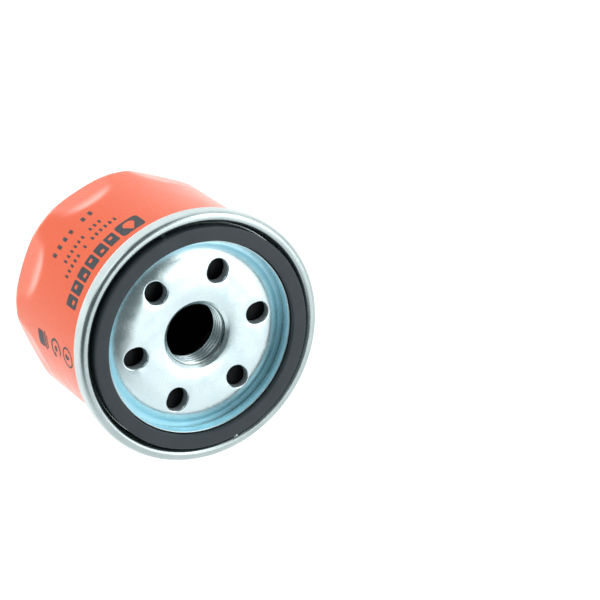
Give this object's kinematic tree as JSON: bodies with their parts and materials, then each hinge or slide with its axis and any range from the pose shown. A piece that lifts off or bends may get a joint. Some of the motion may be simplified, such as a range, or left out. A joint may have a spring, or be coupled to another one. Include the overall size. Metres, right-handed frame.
{
  "type": "spin-on oil filter",
  "caption": "Spin-on oil filter: domed can with wrench flats, rolled seam, recessed base plate with inlet holes round a threaded bore, flat gasket, pleated element and valves inside.",
  "frame": {"origin": "centre of the dome's flat foot, which the filter stands on with its sealing side up", "axes": "+Z along the axis, out of the threaded bore towards the engine; +X through the middle of one inlet hole and one wrench flat"},
  "size_m": [0.08, 0.08, 0.0625],
  "materials": {
    "can_enamel": "gloss orange-red enamel",
    "zinc_lid": "bright zinc plating with a faint blue passivation tint",
    "zinc_plate": "bright zinc plating with a faint blue passivation tint",
    "gasket_rubber": "smooth oiled nitrile",
    "valve_rubber": "moulded nitrile",
    "seam_compound": "cured sealing compound",
    "tinned_steel": "tinned sheet",
    "black_steel": "black phosphated sheet",
    "print_ink": "grey screen-printed ink",
    "spring_steel": "oiled spring steel",
    "potting": "cured plastisol adhesive",
    "filter_paper": "resin-treated cellulose paper"
  },
  "bodies": {
    "housing": {"can": "can_enamel", "seaming_lid": "zinc_lid", "seam_compound": "seam_compound", "base_plate": "zinc_plate", "gasket": "gasket_rubber", "check_valve_collar": "valve_rubber", "check_valve_skirt": "valve_rubber", "upper_end_cap": "tinned_steel", "upper_potting": "potting", "pleated_paper": "filter_paper", "pleat_clip": "tinned_steel", "centre_tube": "black_steel", "lower_potting": "potting", "lower_end_cap": "tinned_steel", "bypass_seat": "valve_rubber", "bypass_spring": "spring_steel", "bypass_cage": "black_steel", "element_spring": "spring_steel"},
    "bypass_valve": {"bypass_disc": "black_steel", "bypass_stem": "spring_steel"},
    "check_valve": {"check_valve_lip": "valve_rubber"}
  },
  "joints": [
    {"name": "bypass_lift", "type": "slide", "parent": "housing", "child": "bypass_valve", "axis": [0, 0, 1], "range_m": [0, 0.0025], "stiffness_N_per_m": 4000, "springref_m": -0.005, "deforming": ["bypass_spring"]},
    {"name": "check_valve_lift", "type": "slide", "parent": "housing", "child": "check_valve", "axis": [0, 0, -1], "range_m": [0, 0.0012], "stiffness_N_per_m": 300, "springref_m": -0.001, "deforming": ["check_valve_skirt"]}
  ]
}
